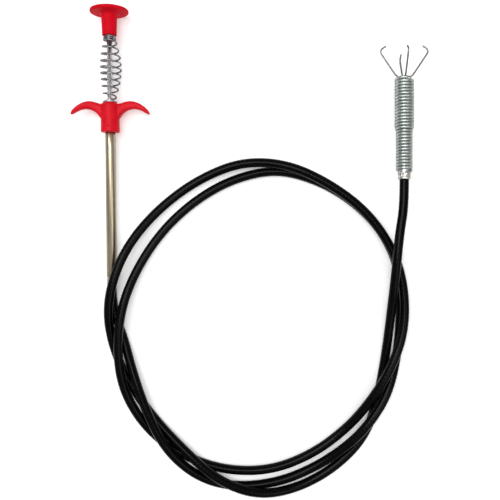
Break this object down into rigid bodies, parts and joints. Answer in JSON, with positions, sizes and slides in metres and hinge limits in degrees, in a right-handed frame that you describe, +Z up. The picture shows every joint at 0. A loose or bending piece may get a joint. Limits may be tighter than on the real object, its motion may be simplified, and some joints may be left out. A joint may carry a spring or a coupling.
{
  "type": "drain auger",
  "caption": "Push-button drain claw: finger grip and thumb button on a metal tube, long sheathed cable in loops, spring head with hooked wire claws.",
  "frame": {"origin": "centre of the bottom of the box round the handle and head, on the surface the tool lies on", "axes": "+X from the handle across to the head, +Y along the head towards the claws, +Z up from the surface"},
  "size_m": [0.2312, 0.3186, 0.0292],
  "materials": {
    "red_plastic": "softly glossy moulded plastic",
    "red_pin": "flush moulded plug",
    "champagne_tube": "satin plated tube",
    "pale_collar": "crimped and plated",
    "bush_plastic": "moulded",
    "zinc_steel": "zinc plated",
    "spring_chrome": "bright wire",
    "black_sheath": "glossy black plastic over a ribbed liner",
    "liner_steel": "close-wound wire",
    "ferrule_metal": "crimped and plated",
    "head_zinc": "zinc plated wire",
    "claw_steel": "bare spring wire"
  },
  "bodies": {
    "root": {"finger_grip": "red_plastic", "grip_pin": "red_pin", "handle_tube": "champagne_tube", "tube_collar": "pale_collar", "tube_bush": "bush_plastic", "liner_stop": "zinc_steel", "spring_seat": "zinc_steel", "return_spring": "spring_chrome", "outer_sheath": "black_sheath", "coil_liner": "liner_steel", "core_cable": "claw_steel", "head_ferrule": "ferrule_metal", "spring_anchor": "zinc_steel", "head_spring": "head_zinc"},
    "plunger": {"thumb_button": "red_plastic", "button_insert": "zinc_steel", "plunger_rod": "spring_chrome"},
    "claw_carrier": {"core_end_sleeve": "zinc_steel", "claw_hub": "zinc_steel", "claw_legs": "claw_steel"},
    "claw_arm_1": {"claw_1": "claw_steel"},
    "claw_arm_2": {"claw_2": "claw_steel"},
    "claw_arm_3": {"claw_3": "claw_steel"},
    "claw_arm_4": {"claw_4": "claw_steel"}
  },
  "joints": [
    {"name": "button_press", "type": "slide", "parent": "root", "child": "plunger", "axis": [0, -0.9988, -0.048], "range_m": [0, 0.02], "stiffness_N_per_m": 350, "deforming": ["return_spring"]},
    {"name": "claw_feed", "type": "slide", "parent": "root", "child": "claw_carrier", "axis": [0, 1, 0], "range_m": [0, 0.02]},
    {"name": "claw_1_close", "type": "hinge", "parent": "claw_carrier", "child": "claw_arm_1", "pos_m": [0.09966, 0.04402, 0.0196], "axis": [-0.9994, 0, -0.0349], "range_deg": [0, 26], "stiffness_Nm_per_rad": 0.02},
    {"name": "claw_2_close", "type": "hinge", "parent": "claw_carrier", "child": "claw_arm_2", "pos_m": [0.1038, 0.04402, 0.01574], "axis": [-0.0349, 0, 0.9994], "range_deg": [0, 26], "stiffness_Nm_per_rad": 0.02},
    {"name": "claw_3_close", "type": "hinge", "parent": "claw_carrier", "child": "claw_arm_3", "pos_m": [0.09994, 0.04402, 0.0116], "axis": [0.9994, 0, 0.0349], "range_deg": [0, 26], "stiffness_Nm_per_rad": 0.02},
    {"name": "claw_4_close", "type": "hinge", "parent": "claw_carrier", "child": "claw_arm_4", "pos_m": [0.0958, 0.04402, 0.01546], "axis": [0.0349, 0, -0.9994], "range_deg": [0, 26], "stiffness_Nm_per_rad": 0.02}
  ],
  "couplings": [
    {"joint": "claw_feed", "follows": "button_press", "ratio": 1},
    {"joint": "claw_2_close", "follows": "claw_1_close", "ratio": 1},
    {"joint": "claw_3_close", "follows": "claw_1_close", "ratio": 1},
    {"joint": "claw_4_close", "follows": "claw_1_close", "ratio": 1}
  ]
}
